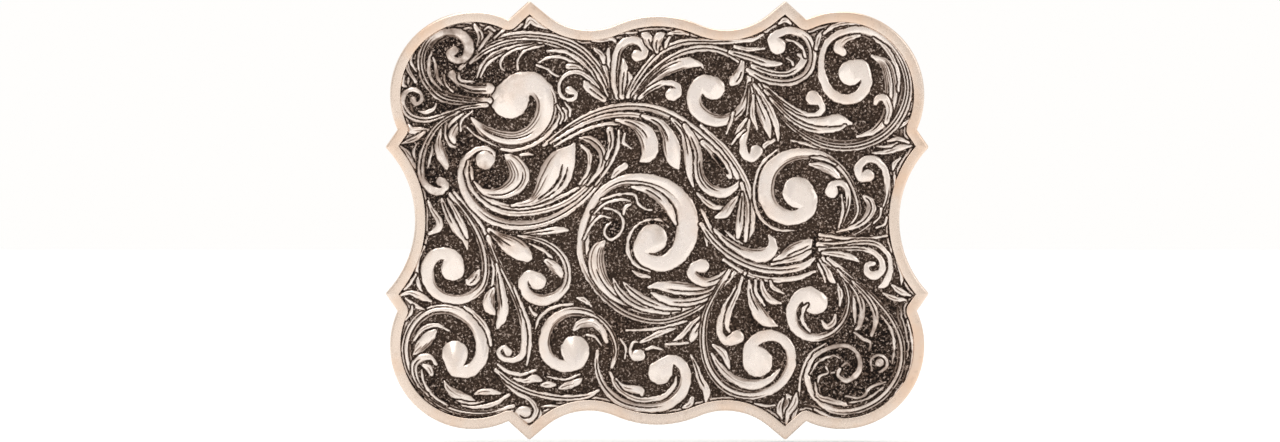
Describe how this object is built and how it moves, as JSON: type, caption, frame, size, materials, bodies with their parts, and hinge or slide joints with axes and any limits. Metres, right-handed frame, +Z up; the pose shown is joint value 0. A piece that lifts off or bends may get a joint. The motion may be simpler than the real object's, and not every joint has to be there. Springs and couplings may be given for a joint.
{
  "type": "belt buckle",
  "caption": "Curved, scalloped plate buckle with an engraved scroll face, a hinged wire belt loop and a hook peg on its back.",
  "frame": {"origin": "middle of the base plate's curved back face, where the buckle lies on the belt", "axes": "+X to a viewer's right along the belt, -Y the way the engraved face looks, +Z up as worn"},
  "size_m": [0.0742, 0.0124, 0.0596],
  "materials": {
    "nickel_silver_back": "brushed, a little tarnished",
    "bright_silver": "hand polished, warm",
    "engraved_silver": "engraved, with blackened recesses",
    "nickel_silver_fittings": "satin",
    "steel_rod": "drawn",
    "brass_washers": "satin",
    "plated_wire": "polished plating"
  },
  "bodies": {
    "plate": {"base_plate": "nickel_silver_back", "rim_border": "bright_silver", "engraved_panel": "engraved_silver", "hinge_lug_upper": "nickel_silver_fittings", "hinge_lug_lower": "nickel_silver_fittings", "hinge_rod": "steel_rod", "hinge_washer_upper": "brass_washers", "hinge_washer_lower": "brass_washers", "hook_pad": "nickel_silver_fittings", "hook_peg": "plated_wire"},
    "bail": {"bail_loop": "plated_wire", "bail_knuckle_upper": "nickel_silver_fittings", "bail_knuckle_lower": "nickel_silver_fittings"}
  },
  "joints": [
    {"name": "bail_hinge", "type": "hinge", "parent": "plate", "child": "bail", "pos_m": [0.0165, 0.0052, 0], "axis": [0, 0, 1], "range_deg": [-12, 178]}
  ]
}
